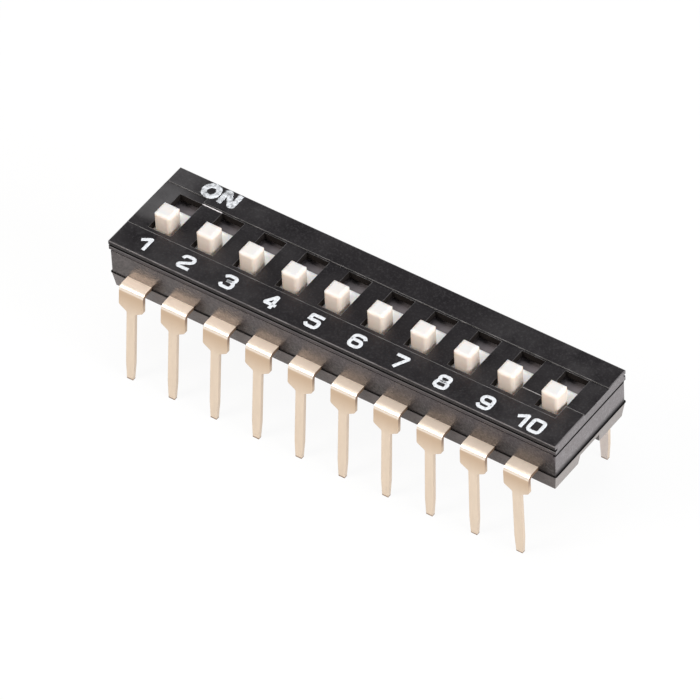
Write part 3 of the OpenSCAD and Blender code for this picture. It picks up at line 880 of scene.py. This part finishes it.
class DIPSWITCH_OT_legends(bpy.types.Operator):
    """Print the position numbers and ON on the cover"""
    bl_idname = "dipswitch.legends"
    bl_label = "Legends"

    def execute(self, context):
        looks = context.scene.dipswitch_legends
        ink = ink_finish("White ink", looks, fading=0.7, patch_scale=7.0, thinning=0.50)
        faint_ink = ink_finish("Faint white ink", looks, fading=0.3, patch_scale=4.5, thinning=0.44)
        tree = ink_tree()

        def printed(name, lines, stroke, raggedness, seed, material):
            piece = grow(line_mesh(name, lines), tree, Stroke=stroke, Thickness=looks.ink_height,
                         Raggedness=raggedness, Seed=float(seed), Ink=material)
            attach(piece, "housing")

        for i in range(1, POSITIONS + 1):
            printed(f"legend_{i}", number_lines(i, looks), looks.digit_stroke, looks.raggedness, i, ink)
        left, foot = COVER_LOW.x + looks.word_margin, COVER_HIGH.y - looks.word_drop
        lines = word_lines("ON", left, foot, looks.word_step, looks.word_width, looks.word_height,
                           looks.word_stroke)
        printed("legend_on", lines, looks.word_stroke, looks.word_raggedness, WORD_SEED, faint_ink)
        return {"FINISHED"}


class DIPSWITCH_OT_burrs(bpy.types.Operator):
    """Lay the fine burrs that the mould leaves along the slots and the channel, coloured as painted
    highlights
    """
    bl_idname = "dipswitch.burrs"
    bl_label = "Moulding burrs"

    def execute(self, context):
        looks = context.scene.dipswitch_marks
        tree = burr_tree()

        def laid(name, pairs, thickness, brightness, seed, faintest=0.35):
            plastic = burr_finish(name.replace("_", " ").capitalize(), looks, brightness, faintest)
            piece = grow(line_mesh(name, [(pair, False, 0.0) for pair in pairs]), tree,
                         Radius=looks.burr_radius * thickness, Wander=looks.burr_wander,
                         Seed=float(looks.seed + seed), Plastic=plastic)
            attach(piece, "housing")

        channel = rims("cover", TOP)
        past_slots = slot_box(POSITIONS)[1] - HAIR
        end_steps = [pair for pair in channel if min(p.x for p in pair) > past_slots]
        ridge_y = min(a.y for a, b in end_steps if abs(a.y - b.y) < HAIR)
        between = [(slot_box(i)[1], slot_box(i + 1)[0]) for i in range(1, POSITIONS)]
        # The ridges and the raised burr carry painted highlights; the ridges only near the far end
        ridge_start = COVER_HIGH.x - looks.ridge_length - HAIR
        ridges = [channel_line(left, right, ridge_y) for left, right in between if left > ridge_start]
        raised = [channel_line(*between[0], slot_box(2)[3])]
        laid("channel_burrs", channel, thickness=1.0, brightness=0.4, seed=0)
        laid("ridges", ridges, thickness=1.3, brightness=1.0, seed=1)
        laid("slot_burrs", SLOT_RIMS, thickness=0.6, brightness=0.3, seed=2)
        laid("raised_burr", raised, thickness=1.8, brightness=2.2, seed=3, faintest=0.8)
        return {"FINISHED"}


class DIPSWITCH_OT_stage(bpy.types.Operator):
    """Set up the floor, the lamps, the sky and the camera"""
    bl_idname = "dipswitch.stage"
    bl_label = "Stage"

    def execute(self, context):
        looks = context.scene.dipswitch_stage
        scene = context.scene
        scene.view_settings.view_transform = "Standard"

        def added(name, data, place=(0.0, 0.0, 0.0)):
            """A new object in the scene"""
            item = bpy.data.objects.new(name, data)
            item.location = place
            scene.collection.objects.link(item)
            return item

        def lamp(name, place, size, power, tint=(1.0, 1.0, 1.0)):
            """A square lamp that looks at the switch"""
            data = bpy.data.lights.new(name, "AREA")
            data.shape = "SQUARE"
            data.size = size
            data.energy = power
            data.color = tint
            added(name, data, place).rotation_euler = (-Vector(place)).to_track_quat("-Z", "Y").to_euler()

        mesh = bpy.data.meshes.new("floor")
        half = looks.floor_size / 2
        corners = [(-half, -half, 0), (half, -half, 0), (half, half, 0), (-half, half, 0)]
        mesh.from_pydata(corners, [], [(0, 1, 2, 3)])
        mesh.materials.append(floor_finish(looks))
        floor = added("floor", mesh)

        scene.world = studio_sky(looks)
        lamp("key_light", looks.key_place, looks.key_size, looks.key_power)
        lamp("front_light", looks.front_place, looks.front_size, looks.front_power, looks.front_colour)
        lamp("top_light", looks.top_place, looks.top_size, looks.top_power)

        data = bpy.data.cameras.new("camera")
        data.sensor_width = SENSOR_WIDTH
        data.lens = looks.lens
        scene.camera = added("camera", data, looks.camera_place)
        scene.camera.rotation_euler = looks.camera_turn
        return {"FINISHED"}


OPERATORS = (DIPSWITCH_OT_cover, DIPSWITCH_OT_base, DIPSWITCH_OT_sliders, DIPSWITCH_OT_metal,
             DIPSWITCH_OT_legends, DIPSWITCH_OT_burrs, DIPSWITCH_OT_stage)


class DIPSWITCH_PT_parts(bpy.types.Panel):
    """The parts of the switch and their sizes"""
    bl_idname = "DIPSWITCH_PT_parts"
    bl_label = "DIP Switch"
    bl_space_type = "VIEW_3D"
    bl_region_type = "UI"
    bl_category = "DIP Switch"

    def draw(self, context):
        for name, group in GROUPS.items():
            box = self.layout.box()
            box.label(text=group.__doc__)
            values = getattr(context.scene, name)
            for key in group.__annotations__:
                box.prop(values, key)
        for operator in OPERATORS:
            self.layout.operator(operator.bl_idname)


CLASSES = (*GROUPS.values(), *OPERATORS, DIPSWITCH_PT_parts)


def register():
    for item in CLASSES:
        bpy.utils.register_class(item)
    for name, group in GROUPS.items():
        setattr(bpy.types.Scene, name, PointerProperty(type=group))


def unregister():
    for name in GROUPS:
        delattr(bpy.types.Scene, name)
    for item in reversed(CLASSES):
        bpy.utils.unregister_class(item)


def main():
    register()
    bpy.ops.dipswitch.stage()
    bpy.ops.dipswitch.cover()
    bpy.ops.dipswitch.base()
    bpy.ops.dipswitch.sliders()
    bpy.ops.dipswitch.metal()
    bpy.ops.dipswitch.legends()
    bpy.ops.dipswitch.burrs()


if __name__ == "__main__":
    main()
